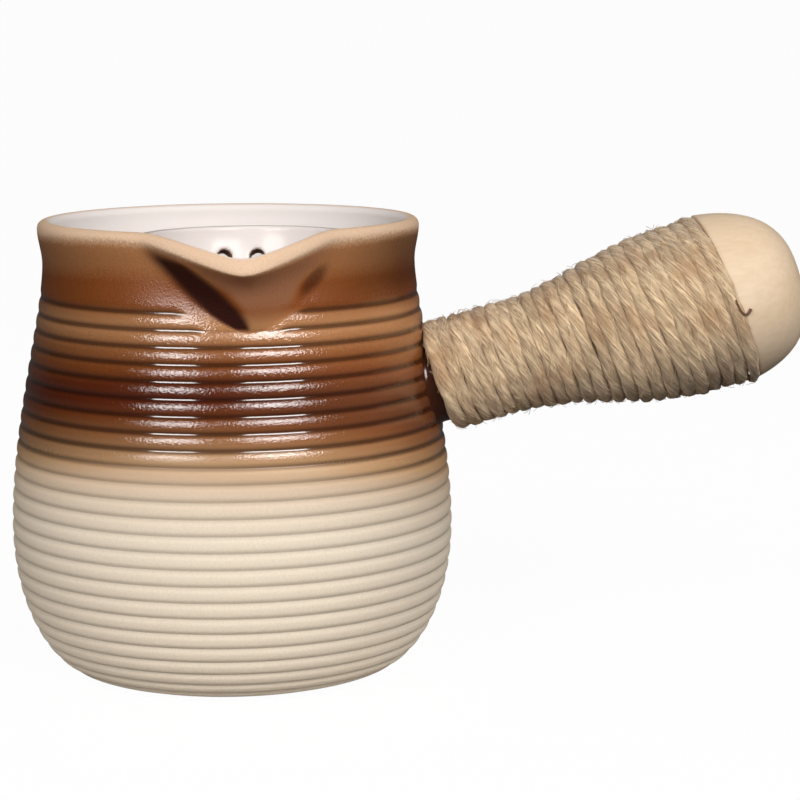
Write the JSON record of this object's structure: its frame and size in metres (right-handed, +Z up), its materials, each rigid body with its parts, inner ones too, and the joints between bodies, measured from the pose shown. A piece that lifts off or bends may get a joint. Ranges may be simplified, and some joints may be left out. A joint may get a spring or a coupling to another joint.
{
  "type": "side-handled stovetop teapot",
  "caption": "Small open stoneware pot with throwing ribs, pulled pouring lip, built-in strainer and a twine-wound wooden side handle, for boiling and pouring tea.",
  "frame": {"origin": "centre of the flat base that the pot stands on", "axes": "+Z up out of the mouth, +X along the handle seen from above, the pouring lip near -Y"},
  "size_m": [0.1702, 0.0965, 0.0978],
  "materials": {
    "stoneware": "brown gloss glaze on the upper half that fades to bare sand-coloured clay, white glaze inside",
    "white_glaze": "glossy white glaze",
    "brown_glaze": "glossy dark brown glaze",
    "wood_glue": "cured, matt",
    "beech": "sanded and lightly waxed",
    "jute": "plied jute twine with loose fibres"
  },
  "bodies": {
    "root": {"pot_body": "stoneware", "strainer": "white_glaze", "handle_socket": "brown_glaze", "tenon_glue": "wood_glue", "wooden_handle": "beech", "twine_winding": "jute"}
  },
  "joints": []
}
